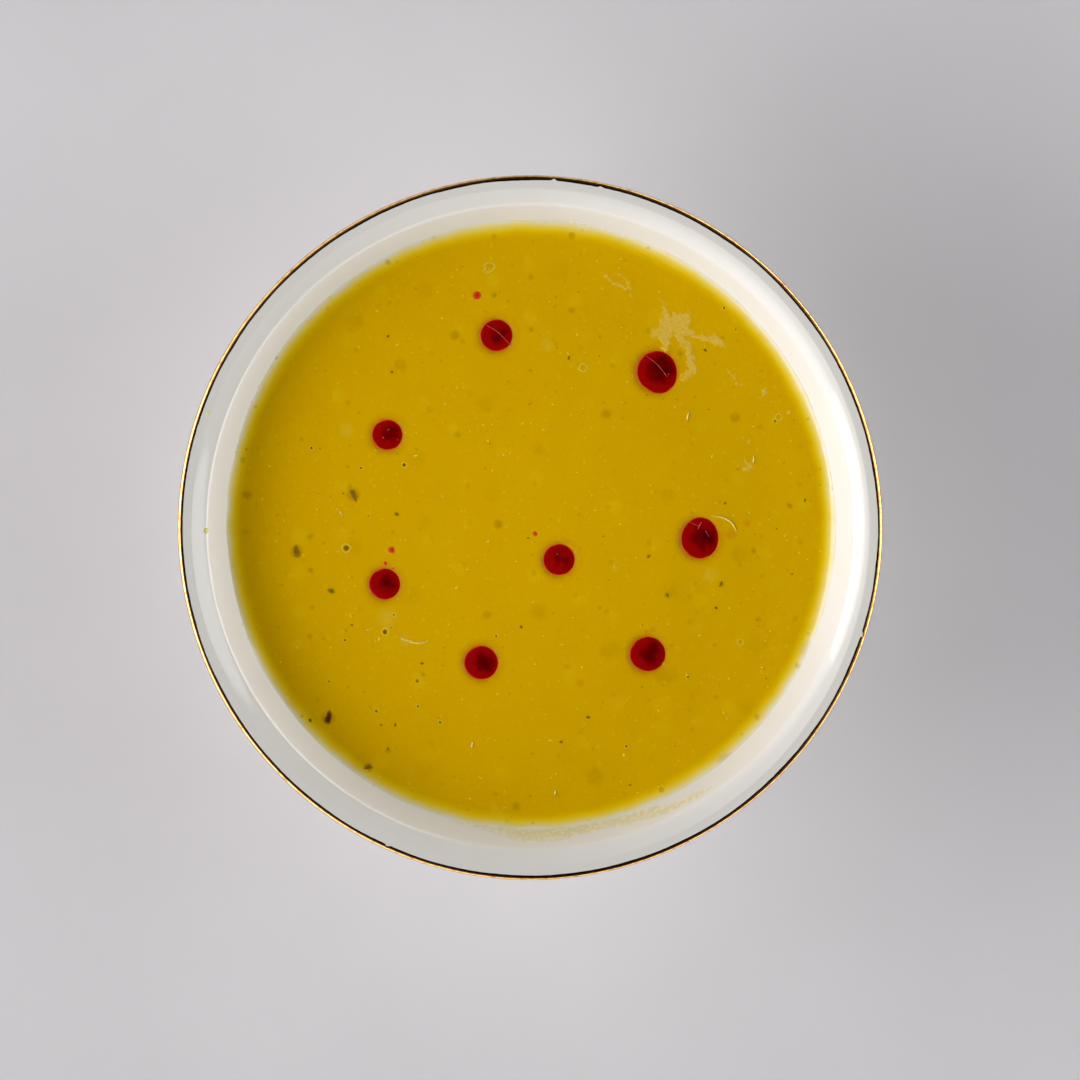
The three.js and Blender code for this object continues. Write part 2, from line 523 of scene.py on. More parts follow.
def flattened(place):
    """A place's X and Y."""
    return on_vector("MULTIPLY", place, (1, 1, 0))


def soft_spots(place, spots):
    """Near 1 in some round spots and falling off round them. A spot has x, y, radius and softness."""
    flat = flattened(place)
    total = None
    for x, y, radius, softness in spots:
        away = on_vector("DISTANCE", flat, (x, y, 0), out="Value")
        spot = spread(away, radius, radius + softness, 1, 0, smooth=True)
        total = spot if total is None else maths("MAXIMUM", total, spot)
    return total


def scattered(place, pitch, radius, softness, portion):
    """Soft uneven spots strewn over the plane: at most one for each square of a pitch. A portion of
    them is there at all, each with its own strength."""
    cells = node("ShaderNodeTexVoronoi", {"Vector": place, "Scale": 1 / pitch}, voronoi_dimensions="2D")
    there = spread(axis_of(cells.node.outputs["Color"], "X"), 0, portion, 1, 0)
    away = maths("MULTIPLY_ADD", varied(place, 2 * softness, -0.4, 0.4), softness / pitch, cells)
    spot = spread(away, radius / pitch, (radius + softness) / pitch, 1, 0, smooth=True)
    return maths("MULTIPLY", spot, there)


# ---- Materials ----

CHINA = (0.765, 0.75, 0.70)
CHINA_SHADE = 0.985  # how bright its darker clouds are, over the lighter
BISCUIT = (0.60, 0.55, 0.46)  # the unglazed underside of the foot ring
BARE_HEIGHT = 0.15  # below this the china is bare
GLAZE_HEIGHT = 0.4  # and above this glazed
BARE_ROUGHNESS = 0.75


def china_material():
    """Glazed white china, bare where it stands."""
    material, place = new_material("china")
    bare = spread(axis_of(place, "Z"), BARE_HEIGHT, GLAZE_HEIGHT, 1, 0)
    darker = tuple(CHINA_SHADE * c for c in CHINA)
    glaze = ramp(noise(place, 14), [(0.3, darker), (0.7, CHINA)])
    return painted(material, {
        "Base Color": mixed(bare, glaze, BISCUIT),
        "Roughness": node("ShaderNodeMix", {0: bare, 2: varied(place, 5, 0.05, 0.09), 3: BARE_ROUGHNESS}),
        "Normal": bump(place, 7, 0.012, 1),
        "IOR": 1.52,
    })


GOLD = (0.93, 0.58, 0.22)
WORN_GOLD = (0.60, 0.24, 0.05)
# Painted dark reflection: the gold's inner side is painted brown-dark where it mirrors the dark ceiling.
GOLD_PAINTED_DARK_REFLECTION = (0.50, 0.17, 0.04)
DARK_REFLECTION_TURN = (-0.1, 0.4)  # from where to where the painted dark reflection gives way, off the edge's middle


def gold_material():
    """Burnished gold, browner where it is worn, and painted darker towards the bowl's inside as a painted
    dark reflection.
    """
    material, place = new_material("gold")
    wear = spread(noise(place, 1.4, 3), 0.45, 0.75)
    radius = on_vector("LENGTH", flattened(place), out="Value")
    # The share of painted dark reflection, towards the bowl's inside.
    inside = spread(radius, *(EDGE_CENTRE[0] + turn for turn in DARK_REFLECTION_TURN), 1, 0)
    return painted(material, {
        "Base Color": mixed(inside, mixed(wear, GOLD, WORN_GOLD), GOLD_PAINTED_DARK_REFLECTION),
        "Roughness": spread(noise(place, 0.8, 3), 0.3, 0.8, 0.12, 0.26),
        "Normal": bump(place, 0.9, 0.008),
        "Metallic": 1.0,
    })


# The soup's colour over the china, by the soup's depth.
SOUP_BY_DEPTH = [
    (0.0, (0.79, 0.745, 0.64)),
    (0.4, (0.80, 0.72, 0.46)),
    (0.85, (0.83, 0.70, 0.31)),
    (1.5, (0.85, 0.68, 0.16)),
    (2.6, (0.90, 0.64, 0.032)),
    (4.2, (0.86, 0.56, 0.0)),
    (DEEP, (0.77, 0.43, 0.0)),
]
SOUP_LIGHTER = (0.81, 0.515, 0.0)
SWIRL_SHARE = 0.22  # how far swirls and grain lighten the soup
GRAIN_SHARE = 0.4
HALO = (0.60, 0.275, 0.0)
OILY_RIM = (0.60, 0.15, 0.004)
SUNK_HERB = (0.43, 0.22, 0.0)
SUNK_PULP = (0.86, 0.60, 0.006)
MILKY = (0.84, 0.59, 0.05)
ORANGE = (0.72, 0.28, 0.002)

# Places with a radius, then how far they fade.
SUNK_HERBS = [
    (-17.3, 43.7, 0.5, 1.2), (-7.4, 0.2, 0.5, 1.0), (-9.9, -20.7, 0.3, 1.1), (17.5, 25.5, 0.4, 1.3),
    (47.1, 24.8, 0.6, 1.0), (-64.9, 6.9, 0.3, 1.2), (-3.2, -64.7, 0.3, 1.2),
]
MILKY_SPOTS = [
    (-33.1, -21.4, 0.6, 2.4), (-28.8, -26.5, 0.3, 1.9), (-42.3, 21.8, 0.3, 2.2), (41.4, -11.5, 0.3, 2.4),
    (3.9, 41.4, 0.2, 2.0), (49.9, 13.8, 0.3, 1.4),
]
ORANGE_SPOTS = [(49.9, 0.4, 0.3, 1.1), (46.2, -2.1, 0.5, 1.5), (11.5, -36.4, 0.3, 1.1)]


def soup_material():
    """A smooth lentil puree, stained round the oil, with herbs sunk in it."""
    material, place = new_material("lentil_soup")
    depth = number(material, "depth")
    deep = spread(depth, 0.6, 1.0)
    colour = ramp(depth, [(d / DEEP, c) for d, c in SOUP_BY_DEPTH])
    for share in (
        spread(noise(place, 13, 3), 0.35, 0.75, 0, SWIRL_SHARE),
        spread(noise(place, 0.7), 0.45, 0.8, 0, GRAIN_SHARE),
    ):
        colour = mixed(maths("MULTIPLY", share, deep), colour, SOUP_LIGHTER)
    middles = [(drop.middle.real, drop.middle.imag, abs(drop.outline).mean()) for drop in DROPS]
    halos = [(x, y, radius - 0.2, HALO_REACH) for x, y, radius in middles]
    rims = [(x, y, radius, OILY_REACH) for x, y, radius in middles]
    sunk = [(x, y, length * 0.5, length * 0.8) for x, y, length, _, _ in HERB_FLAKES if length > 0.6]
    for shape, strength, stain in (
        (scattered(place, 15, 0.4, 2.6, 0.6), 0.35, SUNK_HERB),
        (scattered(place, 8.5, 0.1, 0.9, 0.5), 0.7, SUNK_HERB),
        (scattered(place, 5.3, 0.05, 0.5, 0.4), 0.6, SUNK_HERB),
        (scattered(place, 9, 0.4, 2.0, 0.6), 0.4, SUNK_PULP),
        (scattered(place, 3.1, 0.0, 0.6, 0.8), 0.6, SUNK_PULP),
        (soft_spots(place, halos), 0.75, HALO),
        (soft_spots(place, rims), 0.6, OILY_RIM),
        (soft_spots(place, SUNK_HERBS + sunk), 0.6, SUNK_HERB),
        (soft_spots(place, MILKY_SPOTS), 0.35, MILKY),
        (soft_spots(place, ORANGE_SPOTS), 0.6, ORANGE),
    ):
        uneven = spread(noise(place, 1.5), 0.25, 0.7, 0.55 * strength, strength)
        colour = mixed(maths("MULTIPLY", shape, uneven), colour, stain)
    return painted(material, {
        "Base Color": colour,
        "Roughness": varied(place, 3, 0.10, 0.17),
        "Normal": bump(place, 0.9, 0.02, 3),
        "IOR": 1.36,
    })


# Oil colours by the depth that is seen, over the deepest.
OIL_DEEPEST = 4.0
OIL_BY_DEPTH = [
    (0.0, (0.78, 0.13, 0.02)),
    (0.08, (0.76, 0.065, 0.003)),
    (0.2, (0.66, 0.014, 0.001)),
    (0.3, (0.30, 0.0035, 0.001)),
    (0.7, (0.38, 0.0018, 0.0018)),
    (1.4, (0.33, 0.001, 0.001)),
    (2.3, (0.19, 0.0006, 0.001)),
    (OIL_DEEPEST, (0.11, 0.0005, 0.0006)),
]
OIL_CLOUD = 0.5  # how far noise shifts the depth that is seen, where it is deep


def oil_material():
    """Clear red oil, dark where it is deep and orange where it is thin."""
    material, place = new_material("red_oil")
    depth = number(material, "depth")
    seen = maths("MULTIPLY_ADD", varied(place, 2.6, -OIL_CLOUD, OIL_CLOUD), depth, depth)
    return painted(material, {
        "Base Color": ramp(seen, [(d / OIL_DEEPEST, c) for d, c in OIL_BY_DEPTH]),
        "Roughness": varied(place, 2, 0.03, 0.07, 1),
        "IOR": 1.47,
    })


def speckled_material(name, first, second, size, roughness, gloss=0.5):
    """A material with grains of two colours."""
    material, place = new_material(name)
    return painted(material, {
        "Base Color": mixed(spread(noise(place, size), 0.35, 0.65), first, second),
        "Roughness": varied(place, size, roughness, roughness + 0.15, 1),
        "Normal": bump(place, size / 2, 0.02),
        "IOR": 1.38,
        "Specular IOR Level": gloss,
    })


HERB = (0.20, 0.11, 0.0)
PALER_HERB = (0.32, 0.18, 0.001)
BROWN_HERB = (0.13, 0.028, 0.0)
SOAKED_HERB = (0.56, 0.33, 0.0)


def herb_material():
    """Dried herb that fades into the soup at its border."""
    material, place = new_material("herb")
    colour = mixed(spread(noise(place, 0.6), 0.35, 0.65), HERB, PALER_HERB)
    colour = mixed(number(material, "browner"), colour, BROWN_HERB)
    border = spread(number(material, "border"), 0.1, 1.0, 0, 0.85)
    return painted(material, {
        "Base Color": mixed(border, colour, SOAKED_HERB),
        "Roughness": varied(place, 0.6, 0.6, 0.75, 1),
        "Normal": bump(place, 0.3, 0.02),
        "Specular IOR Level": 0.1,
    })


# Froth colours by its thickness, over the thickest.
FROTH_THICKEST = 0.055
FROTH_BY_THICKNESS = [
    (0.0, (0.78, 0.45, 0.0)), (0.3, (0.80, 0.49, 0.02)), (0.7, (0.82, 0.53, 0.075)),
    (1.0, (0.835, 0.58, 0.12)),
]


def foam_material():
    """Thin froth, palest where it is thickest, with fine streaks."""
    material, place = new_material("foam")
    thickness = spread(number(material, "thickness"), 0, FROTH_THICKEST)
    streaks = spread(noise(place, 0.55, 4), 0.35, 0.7, 0.35, 1.1)
    return painted(material, {
        "Base Color": ramp(maths("MULTIPLY", thickness, streaks), FROTH_BY_THICKNESS),
        "Roughness": varied(place, 0.4, 0.25, 0.4),
        "Normal": bump(place, 0.3, 0.006),
        "Specular IOR Level": 0.1,
    })


# A bubble's colours by the share of its radius; the dark colours in the middle are painted shade in its
# pit.
BUBBLE_COLOURS_AND_PIT_SHADE = [
    (0.0, (0.22, 0.11, 0.0)), (0.4, (0.28, 0.15, 0.0)), (0.52, (0.70, 0.40, 0.0)),
    (0.68, (0.78, 0.46, 0.004)), (0.84, (0.90, 0.66, 0.07)), (0.92, (0.88, 0.62, 0.04)),
    (1.0, (0.78, 0.46, 0.001)),
]


def bubble_material():
    """Small bubbles: a pale ring round a pit painted dark as its shade."""
    material, place = new_material("bubble")
    colour = ramp(number(material, "share"), BUBBLE_COLOURS_AND_PIT_SHADE)
    return painted(material, {
        "Base Color": mixed(noise(place, 0.4), colour, (0.85, 0.85, 0.85), "MULTIPLY"),
        "Roughness": varied(place, 0.5, 0.08, 0.2),
        "Specular IOR Level": 0.15,
    })


# Dried soup's colours by its thickness, over the thickest.
STAIN_THICKEST = 0.09
STAIN_BY_THICKNESS = [(0.0, (0.76, 0.73, 0.66)), (0.3, (0.75, 0.715, 0.58)), (1.0, (0.735, 0.68, 0.42))]


def stain_material():
    """Soup dried on the china, palest where it is thinnest."""
    material, place = new_material("dried_film")
    thickness = spread(number(material, "thickness"), 0, STAIN_THICKEST)
    clouded = maths("ADD", thickness, varied(place, 2.5, -0.06, 0.05))
    return painted(material, {
        "Base Color": ramp(clouded, STAIN_BY_THICKNESS),
        "Roughness": varied(place, 1.1, 0.15, 0.35),
        "Normal": bump(place, 0.8, 0.015, 3),
    })


def finish(piece, material, *replaced, slot=None):
    """Gives a piece its material, hangs it under the root, and hides the imported parts that it replaces.
    """
    piece.data.materials.append(material)
    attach(piece, "root")
    if replaced:
        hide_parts(*replaced)


# ---- Pieces ----

def outside_line():
    """The bowl's outside, from the middle of the underside to the edge."""
    heights = np.maximum(INSIDE[:, 1], BOWL_HEIGHT - THINNING_HEIGHT)
    thickness = np.interp(
        heights, [BOWL_HEIGHT - THINNING_HEIGHT, BOWL_HEIGHT], [WALL_THICKNESS, EDGE_THICKNESS])
    shell = shifted(INSIDE, thickness)
    foot_inner = FOOT_RADIUS - FOOT_WIDTH
    foot_ends = [foot_inner - FOOT_BEVEL, FOOT_RADIUS + FOOT_BEVEL]
    meets = [(radius, np.interp(radius, shell[:, 0], shell[:, 1])) for radius in foot_ends]
    before = shell[shell[:, 0] < foot_ends[0] - FOOT_EASING]
    after = shell[shell[:, 0] > foot_ends[1] + FOOT_EASING]
    foot = eased([
        before[-1],
        meets[0],
        (foot_inner, FOOT_BEVEL),
        (foot_inner + FOOT_BEVEL, 0),
        (FOOT_RADIUS - FOOT_BEVEL, 0),
        (FOOT_RADIUS, FOOT_BEVEL),
        meets[1],
        after[0],
    ], FOOT_EASING)
    return np.vstack([before, foot[1:-1], after[:-1]])


def bowl_china(material):
    """The bowl's china, one closed turning with slightly uneven walls."""
    headings = np.linspace(EDGE_START - 180, EDGE_START, 24)
    edge = np.array([from_point(EDGE_CENTRE, heading, EDGE_RADIUS) for heading in headings])
    line = np.vstack([outside_line(), edge, INSIDE[::-1][1:]])
    rings = turned(line, 256)
    angles = np.arctan2(rings[..., 1], rings[..., 0])
    free = step(rings[..., 2], 8, 20) * step(RIM_RADIUS - np.hypot(rings[..., 0], rings[..., 1]), 1.5, 6)
    uneven = WALL_UNEVENNESS * free * waves(6 * angles, rings[..., 2] / 6, 4, seed=11)
    rings[..., :2] *= 1 + uneven[..., None]
    finish(ringed("bowl_china", rings), material, "bowl", slot="china")


def over_edge(reach, lift):
    """The place over the bowl's edge at a distance from its crest."""
    lip = radians(LIP_SLOPE)
    angle = np.minimum(pi / 2 - reach / EDGE_RADIUS, pi / 2 + lip)
    along_lip = np.maximum(-reach - lip * EDGE_RADIUS, 0)
    radius = EDGE_CENTRE[0] + (EDGE_RADIUS + lift) * np.cos(angle) - along_lip * cos(lip)
    height = EDGE_CENTRE[1] + (EDGE_RADIUS + lift) * np.sin(angle) - along_lip * sin(lip)
    return radius, height


def gilding(material):
    """The gilded line on the bowl's edge, a thin strip with a hand-laid, nicked border."""
    angles = headings_of(1024)
    x, y = RIM_RADIUS * np.cos(angles), RIM_RADIUS * np.sin(angles)
    inner = GILT_INNER + 0.035 * waves(x, y, 7, seed=21) + 0.012 * waves(x, y, 1.2, seed=22)
    outer = GILT_OUTER + 0.08 * waves(x, y, 9, seed=23)
    for place, depth in GILT_NICKS:
        away = (angles - radians(place) + pi) % (2 * pi) - pi
        inner = inner + depth * np.exp(-(away * RIM_RADIUS / 0.45) ** 2)
    shares = np.linspace(0, 1, 12)[:, None]
    reach = inner + shares * (outer - inner)
    top = over_edge(reach, GILT_LIFT * np.sin(pi * np.clip(shares, 0.02, 0.98)) ** 0.3)
    under = over_edge(reach[::-1], -GILT_DEPTH)
    radius, height = (np.vstack(pair) for pair in zip(top, under))
    finish(ringed("gilding", round_axis(radius, angles, height), looped=True), material)


def soup_body(material):
    """The soup: its surface, and the well under it, a little into the china."""
    count = 512
    fine = SHORE - FINE_REACH
    radii = np.concatenate([np.arange(0, fine, 0.6), np.linspace(fine, SHORE + 1.2, 30)])
    places = np.outer(radii, circle_of(count))
    x, y = places.real, places.imag
    surface = np.stack([x, y, soup_height(x, y)], axis=-1)
    side = INSIDE[INSIDE[:, 1] < SOUP_LEVEL - 0.5][::2]
    well = turned(shifted(side, np.full(len(side), WALL_BITE))[::-1], count)
    depth = surface[..., 2] - np.interp(radii, *INSIDE.T)[:, None] + 0.12 * waves(x, y, 3, seed=6)
    depth = np.concatenate([depth, np.full((len(side), count), DEEP)])
    values = {"depth": np.clip(depth / DEEP, 0, 1)}
    piece = ringed("soup_surface", np.concatenate([surface, well]), values=values)
    finish(piece, material, "soup", slot="lentil_soup")


def lens(middle, outline, level, dome, belly, rows=14):
    """Rings of a drop from the pole of its belly to the pole of its dome, with the share of the
    outline that each ring has."""
    shares = np.sin(np.linspace(0, pi / 2, rows))
    shares = np.concatenate([shares, shares[::-1][1:]])
    over = np.arange(len(shares)) >= rows
    sag = np.maximum(1 - shares**2, 0)
    heights = level + np.where(over, dome * sag, -belly * np.sqrt(sag))
    places = middle + np.outer(shares, outline)
    rings = np.stack([places.real, places.imag, np.repeat(heights[:, None], len(outline), 1)], axis=-1)
    return rings, shares


def seen_depth_and_shade(drop, rings, shares):
    """How deep the oil looks: none at the rim, and deepest a little off the middle, where that shift, the
    same for every drop, is painted shade.
    """
    from_rim = np.outer(1 - shares, np.abs(drop.outline))
    radius = np.abs(drop.outline).mean()
    offset = rings[..., 0] + 1j * rings[..., 1] - drop.middle
    # The darkest place is moved off the middle as painted shade.
    shaded_core = radius - np.abs(offset - DROP_SHADE_CORE * radius)
    return np.minimum(3 * from_rim, np.maximum(np.minimum(from_rim, 0.6), shaded_core))


def oil_drop(name, drop, material):
    """A drop of oil afloat on the soup."""
    rings, shares = lens(drop.middle, drop.outline, SOUP_LEVEL - RIM_SINK, DROP_DOME, DROP_BELLY)
    depth = seen_depth_and_shade(drop, rings, shares) / OIL_DEEPEST
    piece = ringed(name.replace("oil_drop", "red_drop"), rings, values={"depth": depth})
    finish(piece, material, name, slot="red_oil")


# Each bead: place and radius.
BEADS = [
    (-12.2, 52.8, 1.1), (-31.9, -5.7, 0.85), (-33.3, -8.8, 0.55), (-31.5, -9.9, 0.3), (1.1, -2.0, 0.65),
]
BEAD_DEPTH = 0.19  # the depth that shows in a bead, over its radius


def oil_beads(material):
    """The smallest beads of oil, flung from the drops."""
    shapes, depths = [], []
    circle = circle_of(28)
    for index, (x, y, radius) in enumerate(BEADS):
        outline = radius * circle * (1 + 0.04 * waves(circle.real, circle.imag, 1, seed=30 + index))
        level = float(soup_height(x, y)) - 0.03
        rings, shares = lens(complex(x, y), outline, level, 0.2 * radius, 0.3 * radius, rows=7)
        shapes.append(capped(rings[1:-1]))
        depths.append(np.outer(1 - shares[1:-1], np.abs(outline)).ravel() * BEAD_DEPTH)
    piece = joined("oil_beads", shapes, {"depth": np.concatenate(depths) / OIL_DEEPEST})
    finish(piece, material, slot="red_oil")


# Flakes of herb afloat: place, half length, half width, and heading in degrees.
HERB_FLAKES = [
    (-46.4, -44.4, 1.6, 0.85, 80), (-50.6, -44.9, 0.46, 0.4, 0), (-40.7, 7.0, 1.6, 0.72, -66),
    (-43.0, 7.3, 0.23, 0.2, 0), (-53.7, -6.1, 1.5, 0.82, 92), (-45.7, -15.2, 0.85, 0.52, -15),
    (-32.7, 43.4, 0.46, 0.35, 60), (-31.8, 35.2, 0.46, 0.35, 0), (-2.1, -23.5, 0.46, 0.35, 100),
    (40.2, 40.2, 0.55, 0.3, -20), (8.9, 38.4, 0.5, 0.28, 80), (27.3, -7.2, 0.46, 0.35, 40),
    (43.9, -13.6, 0.75, 0.3, 60), (42.8, -19.1, 0.46, 0.35, 80), (31.5, -16.1, 0.69, 0.25, 120),
    (13.3, -44.2, 0.51, 0.41, 10), (-24.9, -31.8, 0.46, 0.35, 0), (-26.0, -35.9, 0.46, 0.35, 70),
    (-30.7, 2.5, 0.62, 0.34, -25), (-41.0, -23.0, 0.35, 0.28, 0), (-31.0, -46.0, 0.46, 0.28, 90),
    (-34.3, -46.0, 0.35, 0.28, 30), (-32.7, -51.5, 0.41, 0.28, 90), (-37.3, -55.7, 1.15, 0.6, 15),
    (7.1, -49.9, 0.46, 0.35, 0), (23.0, -59.8, 0.35, 0.23, 0), (44.8, 5.0, 0.37, 0.23, 70),
    (63.2, 5.7, 0.5, 0.25, 60), (60.2, -11.3, 0.35, 0.23, 0), (-0.5, -3.0, 0.28, 0.23, 0),
]


FLAKE_CORNERS = 11
FLAKE_LIFT = 0.05
BORDER_LIFT = 0.012
FLAKE_THICKNESS = 0.16


def flake(x, y, half_length, half_width, heading, random):
    """A ragged flake on the soup: its middle, a ring of points and its border."""
    count = FLAKE_CORNERS
    ragged = 1 + 0.28 * random.uniform(-1, 1, count)
    circle = circle_of(count)
    own = half_length * circle.real + 1j * half_width * circle.imag
    turn = np.exp(1j * radians(heading))
    sheet = np.concatenate([[0], own * 0.55 * ragged, own * ragged]) * turn + complex(x, y)
    lift = FLAKE_LIFT * (1 + random.uniform(-1, 1, len(sheet)))
    lift[1 + count:] = BORDER_LIFT
    top = on_soup(sheet.real, sheet.imag, lift)
    pairs = [(i, (i + 1) % count) for i in range(count)]
    faces = [(0, 1 + i, 1 + j) for i, j in pairs]
    faces += [(1 + i, 1 + count + i, 1 + count + j, 1 + j) for i, j in pairs]
    return slab(top, top - UP * FLAKE_THICKNESS, faces)


def herb_flakes(material):
    """Flakes of dried herb on the soup, the first one browner."""
    random = np.random.default_rng(41)
    shapes = [flake(*place, random) for place in HERB_FLAKES]
    border = np.tile(np.arange(1 + 2 * FLAKE_CORNERS) > FLAKE_CORNERS, 2 * len(shapes))
    browner = np.repeat([1] + [0] * (len(shapes) - 1), len(shapes[0][0]))
    finish(joined("herb_flakes", shapes, {"border": border, "browner": browner}), material)


def ball():
    """The points and faces of a small rough ball of twenty faces."""
    made = bmesh.new()
    bmesh.ops.create_icosphere(made, subdivisions=1, radius=1)
    points = np.array([v.co for v in made.verts])
    faces = [tuple(v.index for v in face.verts) for face in made.faces]
    made.free()
    return points, faces


LONGEST_GRAIN = 1.6  # over its width in the mean


def strewn(name, material, count, smallest, largest, seed, sunk=0.45):
    """Small grains strewn over the soup, each its own size and shape."""
    random = np.random.default_rng(seed)
    points, faces = ball()
    shapes = []
    while len(shapes) < count:
        away = (SHORE - 1.5) * sqrt(random.uniform())
        heading = random.uniform(0, 2 * pi)
        x, y = away * cos(heading), away * sin(heading)
        half = smallest * (largest / smallest) ** (random.uniform() ** 1.8) / 2
        stretch = random.uniform(1, LONGEST_GRAIN)
        turn = random.uniform(0, pi)
        shape = points * (1 + 0.22 * random.uniform(-1, 1, (len(points), 1)))
        if any(drop.inset(x, y) > -0.4 for drop in DROPS):
            continue
        long, wide, high = (shape * [half * stretch, half / stretch**0.5, 0.6 * half]).T
        flat = (long + 1j * wide) * np.exp(1j * turn)
        height = high + float(soup_height(x, y)) + 0.6 * half * (1 - 2 * sunk)
        shapes.append((np.stack([flat.real + x, flat.imag + y, height], axis=1), faces))
    finish(joined(name, shapes), material)


BUBBLE_ROOT = 0.15  # how deep a bubble's underside lies
# A bubble's top from its border inwards: shares of its radius, and the height there.
BUBBLE_RINGS = [
    (1.0, -0.02), (0.93, 0.01), (0.86, 0.03), (0.79, 0.035), (0.72, 0.03), (0.6, 0.02), (0.4, 0.01),
    (0.2, 0.01),
]
RING_SHARE = 0.75  # the share from which a whole bubble looks like a burst one
# Bubbles that have burst: place and radius of the ring round the pit.
BUBBLES = [
    (-42.3, -5.3, 1.2), (-33.4, -24.6, 1.0), (-29.0, 13.8, 0.8), (-38.9, 13.1, 0.5),
    (-50.3, 17.7, 0.6), (-20.7, -45.4, 0.6), (-35.4, -42.8, 0.6), (-42.6, -26.5, 0.5),
    (-25.8, -41.7, 0.5), (-7.8, -25.6, 0.5), (-10.0, 58.5, 0.75), (56.3, 23.9, 0.5), (49.9, 12.9, 0.5),
    (36.3, -35.0, 0.5), (22.1, -50.9, 0.5), (44.6, 49.9, 0.5), (-32.0, -23.6, 0.35), (-45.9, 6.6, 0.3),
    (-37.2, 2.2, 0.35), (-31.4, -20.7, 0.5), (-46.2, -36.0, 0.45), (30.6, -31.9, 0.3),
]
# Bubbles that are still whole, which show as a pale ring.
WHOLE_BUBBLES = [
    (-9.4, 59.3, 1.3), (12.1, 36.2, 1.05), (57.1, 24.8, 0.9), (30.1, -60.7, 0.9), (48.4, -26.9, 0.85),
    (-31.3, -20.6, 0.6), (19.8, -9.4, 0.6),
]


def bubbles(material):
    """Small bubbles: a raised ring, round a pit where the bubble has burst."""
    count = 24
    shapes, values = [], []
    circle = circle_of(count)
    shares, profile = np.array(BUBBLE_RINGS).T
    burst = [(*place, shares) for place in BUBBLES]
    whole = [(*place, np.where(shares > RING_SHARE, shares, 1.0)) for place in WHOLE_BUBBLES]
    for index, (x, y, radius, own) in enumerate(burst + whole):
        uneven = 1 + 0.06 * waves(circle.real, circle.imag, 0.8, seed=50 + index)
        places = complex(x, y) + radius * np.outer(shares, circle * uneven)
        top = on_soup(places.real, places.imag, np.repeat(profile[:, None], count, axis=1))
        shapes.append(capped(np.concatenate([top[:1] - UP * BUBBLE_ROOT, top])))
        values.append(np.repeat(np.concatenate([[1.0], own]), count))
    finish(joined("bubbles", shapes, {"share": np.concatenate(values)}), material)


FOAM_PITCH = 0.13
# Foam: brush lines of places with half widths.
FOAM_LINES = [
    [(28.8, 44.2, 1.3), (30.6, 44.2, 1.85), (31.2, 41.9, 1.3), (30.8, 40.8, 0.9)],
    [(30.2, 51.4, 0.35), (31.4, 49.7, 0.6), (31.4, 47.1, 1.6), (31.6, 44.5, 1.8)],
    [(34.0, 47.1, 1.9), (35.8, 47.5, 1.7), (34.7, 44.5, 2.0), (36.9, 44.2, 1.2)],
    [(36.9, 44.2, 1.0), (38.0, 43.4, 0.7), (39.9, 43.0, 0.75), (42.1, 42.7, 1.3), (44.0, 41.7, 1.0),
     (44.7, 40.8, 0.4)],
    [(35.1, 42.7, 1.3), (36.4, 40.4, 1.05), (36.9, 38.2, 1.15), (37.3, 36.0, 1.2), (36.2, 34.1, 1.0),
     (34.7, 33.8, 0.55)],
    [(45.5, 35.3, 0.4), (46.9, 34.1, 0.55), (47.7, 32.7, 0.45), (49.2, 32.1, 0.3)],
    [(16.1, 58.1, 0.3), (18.0, 57.0, 0.45), (19.1, 55.7, 0.45), (21.0, 55.1, 0.45), (22.5, 53.8, 0.55),
     (23.0, 53.1, 0.4)],
    [(18.0, 57.0, 0.35), (19.5, 57.7, 0.35), (21.2, 57.3, 0.4), (22.5, 55.8, 0.45), (22.8, 54.2, 0.45)],
    [(54.0, 31.9, 0.3), (54.0, 30.4, 0.8), (53.2, 29.1, 0.4)],
    [(50.3, 19.3, 0.5), (50.3, 18.7, 0.6)],
    [(59.2, 25.8, 0.4), (59.4, 25.5, 0.4)],
    [(49.5, 14.5, 0.7), (51.0, 13.5, 0.8), (49.5, 13.0, 0.6)],
]


def foam(material):
    """Thin rafts of froth on the soup, with frayed borders."""
    x, y = np.meshgrid(np.arange(14, 62, FOAM_PITCH), np.arange(10, 60, FOAM_PITCH))
    frayed = strokes(x, y, FOAM_LINES) + 0.22 * waves(x, y, 0.9, seed=61)
    frayed = frayed + 0.14 * waves(x, y, 0.4, seed=62)
    thickness = np.minimum(0.002 + 0.065 * frayed, 0.05 + 0.006 * waves(x, y, 0.35, seed=63))
    finish(film("foam", x, y, np.where(frayed > 0, thickness, -1), on_soup), material)


def thread(points, thick, lift):
    """A closed thin thread along some places."""
    line = eased(points, 3, steps=6)
    middle = on_soup(line[:, 0], line[:, 1], lift)
    along = np.gradient(middle, axis=0)
    along /= np.linalg.norm(along, axis=1)[:, None]
    right = np.cross(along, UP)
    over = np.cross(right, along)
    circle = circle_of(8)[None, :, None]
    ring = circle.real * right[:, None] + circle.imag * over[:, None]
    return capped(middle[:, None] + ring * (thick * line[:, 2])[:, None, None])


# Fibres: places with a share of the thickness.
SOUP_FIBRES = [
    [(-29.8, -26.1, 0.7), (-28.1, -26.7, 1.3), (-26.2, -27.2, 0.9), (-24.6, -27.2, 0.7),
     (-23.6, -26.6, 0.4)],
    [(41.6, 2.1, 0.4), (43.7, 1.9, 0.9), (45.3, 1.4, 1.1), (46.7, 0.2, 1.1), (47.4, -1.3, 0.7)],
    [(36.5, 26.0, 0.7), (36.3, 25.0, 1.2), (36.1, 24.1, 0.6)],
    [(-43.9, 3.2, 0.5), (-43.6, 2.7, 0.9), (-43.3, 2.3, 0.6)],
    [(51.4, 15.9, 0.6), (51.5, 15.1, 1.2), (51.3, 14.3, 0.6)],
    [(5.8, -60.9, 0.6), (5.9, -61.5, 1.2), (5.6, -62.3, 0.5)],
    [(-13.2, -50.0, 0.6), (-13.3, -50.6, 1.2), (-13.5, -51.2, 0.6)],
]
